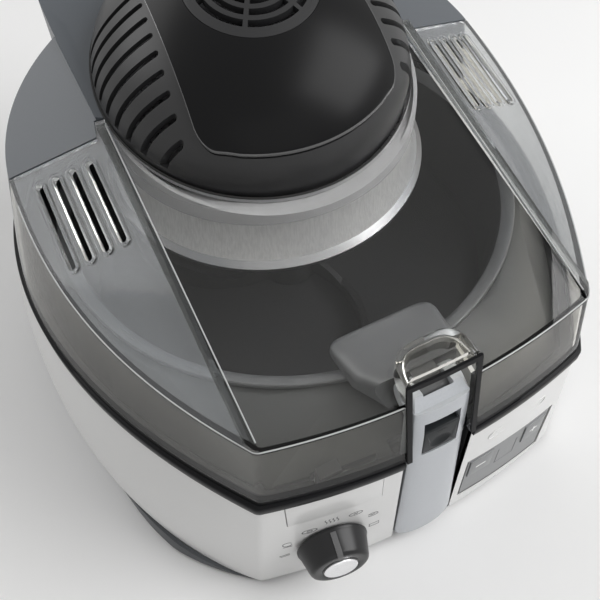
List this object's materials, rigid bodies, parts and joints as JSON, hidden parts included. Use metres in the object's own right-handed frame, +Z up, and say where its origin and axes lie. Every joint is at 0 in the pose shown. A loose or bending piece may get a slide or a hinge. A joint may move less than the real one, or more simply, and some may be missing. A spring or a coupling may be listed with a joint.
{
  "type": "deep fryer",
  "caption": "Low-oil deep fryer: oval white body with belly sides, round bowl with turning paddle, hinged smoky lid with a blower dome and steel drum, fold-down handle, knob and keys.",
  "frame": {"origin": "on the floor, under the vertical axis of the bowl and its drive shaft", "axes": "+Z up, -Y to the front (handle and controls), +X to the right as seen in the frame with -Y as the front"},
  "size_m": [0.3474, 0.3976, 0.2613],
  "materials": {
    "pan_plastic": "satin",
    "rubber": "matte",
    "screw_steel": "satin",
    "shell_plastic": "gloss",
    "trim_plastic": "gloss",
    "deck_plastic": "satin",
    "liner_sheet": "satin",
    "heater_tube": "satin",
    "motor_can": "satin",
    "bush_brass": "satin",
    "bowl_coat": "non-stick",
    "rim_plastic": "satin",
    "mount_plastic": "satin",
    "pin_steel": "satin",
    "panel_plastic": "satin",
    "board": "satin",
    "switch_plastic": "satin",
    "ceramic_body": "matte",
    "terminal_plastic": "satin",
    "hinge_steel": "satin",
    "gear_plastic": "satin",
    "paddle_plastic": "satin",
    "smoky_clear": "clear tinted plastic",
    "lid_plastic": "satin",
    "dome_plastic": "satin",
    "insert_plastic": "piano gloss",
    "grille_plastic": "satin",
    "drum_steel": "brushed",
    "lip_enamel": "satin",
    "collar_plastic": "satin",
    "fan_sheet": "satin",
    "grip_silver": "silver satin",
    "slider_plastic": "satin",
    "knob_plastic": "satin",
    "pointer_plastic": "satin",
    "cap_chrome": "satin chrome",
    "key_plastic": "satin"
  },
  "bodies": {
    "base": {"base_pan": "pan_plastic", "feet": "rubber", "base_screws": "screw_steel", "body_shell": "shell_plastic", "rim_trim": "trim_plastic", "top_deck": "deck_plastic", "well_liner": "liner_sheet", "lower_heater": "heater_tube", "gear_motor": "motor_can", "shaft_bush": "bush_brass", "foot_bearing": "bush_brass", "bowl": "bowl_coat", "bowl_rim": "rim_plastic", "handle_mount": "mount_plastic", "handle_pin": "pin_steel", "display_panel": "panel_plastic", "control_board": "board", "selector_switch": "switch_plastic", "thermostat": "ceramic_body", "cord_gland": "rubber", "terminal_block": "terminal_plastic", "hinge_bracket": "hinge_steel", "hinge_pins": "pin_steel", "latch_pin": "pin_steel"},
    "lid": {"lid_window": "smoky_clear", "lid_rear_shell": "lid_plastic", "hinge_arms": "hinge_steel", "notch_frame": "trim_plastic", "dome_cover": "dome_plastic", "dome_insert": "insert_plastic", "top_grille": "grille_plastic", "drum": "drum_steel", "drum_lip": "lip_enamel", "drum_collar": "collar_plastic", "guard_grille": "drum_steel", "upper_heater": "heater_tube", "fan_plate": "motor_can", "fan_motor": "motor_can", "lid_catch": "pin_steel"},
    "paddle_drive": {"drive_shaft": "pin_steel", "drive_gear": "gear_plastic", "paddle": "paddle_plastic"},
    "pinion": {"motor_pinion": "gear_plastic"},
    "blower": {"fan": "fan_sheet", "fan_shaft": "pin_steel"},
    "handle": {"handle_grip": "grip_silver"},
    "slider": {"handle_slider": "slider_plastic"},
    "selector": {"knob": "knob_plastic", "knob_pointer": "pointer_plastic", "knob_cap": "cap_chrome", "knob_shaft": "pin_steel"},
    "minus_key": {"minus_button": "key_plastic"},
    "plus_key": {"plus_button": "key_plastic"},
    "release": {"release_button": "shell_plastic"},
    "latch": {"latch_lever": "hinge_steel"}
  },
  "joints": [
    {"name": "lid_hinge", "type": "hinge", "parent": "base", "child": "lid", "pos_m": [0, 0.186, 0.1241], "axis": [-1, 0, 0], "range_deg": [0, 75]},
    {"name": "paddle_spin", "type": "hinge", "parent": "base", "child": "paddle_drive", "pos_m": [0, 0, 0.015], "axis": [0, 0, 1], "continuous": true},
    {"name": "pinion_spin", "type": "hinge", "parent": "base", "child": "pinion", "pos_m": [0.03677, 0.03085, 0.015], "axis": [0, 0, 1], "continuous": true},
    {"name": "fan_spin", "type": "hinge", "parent": "lid", "child": "blower", "pos_m": [0, 0.027, 0.165], "axis": [0, 0, 1], "continuous": true},
    {"name": "handle_fold", "type": "hinge", "parent": "base", "child": "handle", "pos_m": [0, -0.163, 0.148], "axis": [-1, 0, 0], "range_deg": [0, 90]},
    {"name": "handle_lock", "type": "slide", "parent": "handle", "child": "slider", "axis": [0, 0.0776, 0.997], "range_m": [0, 0.007], "stiffness_N_per_m": 120, "springref_m": -0.001},
    {"name": "knob_turn", "type": "hinge", "parent": "base", "child": "selector", "pos_m": [-0.0613, -0.1791, 0.0435], "axis": [-0.1504, -0.9831, 0.1045], "range_deg": [0, 270]},
    {"name": "minus_press", "type": "slide", "parent": "base", "child": "minus_key", "axis": [0, 1, 0], "range_m": [0, 0.001], "stiffness_N_per_m": 400, "springref_m": -0.0003},
    {"name": "plus_press", "type": "slide", "parent": "base", "child": "plus_key", "axis": [0, 1, 0], "range_m": [0, 0.001], "stiffness_N_per_m": 400, "springref_m": -0.0003},
    {"name": "release_press", "type": "slide", "parent": "base", "child": "release", "axis": [0, 1, 0], "range_m": [0, 0.0025], "stiffness_N_per_m": 400, "springref_m": -0.0005},
    {"name": "latch_swing", "type": "hinge", "parent": "base", "child": "latch", "pos_m": [0, -0.16, 0.088], "axis": [-1, 0, 0], "range_deg": [0, 12.5]}
  ],
  "couplings": [
    {"joint": "pinion_spin", "follows": "paddle_spin", "ratio": -4},
    {"joint": "latch_swing", "follows": "release_press", "rad_per_m": 83.333}
  ]
}
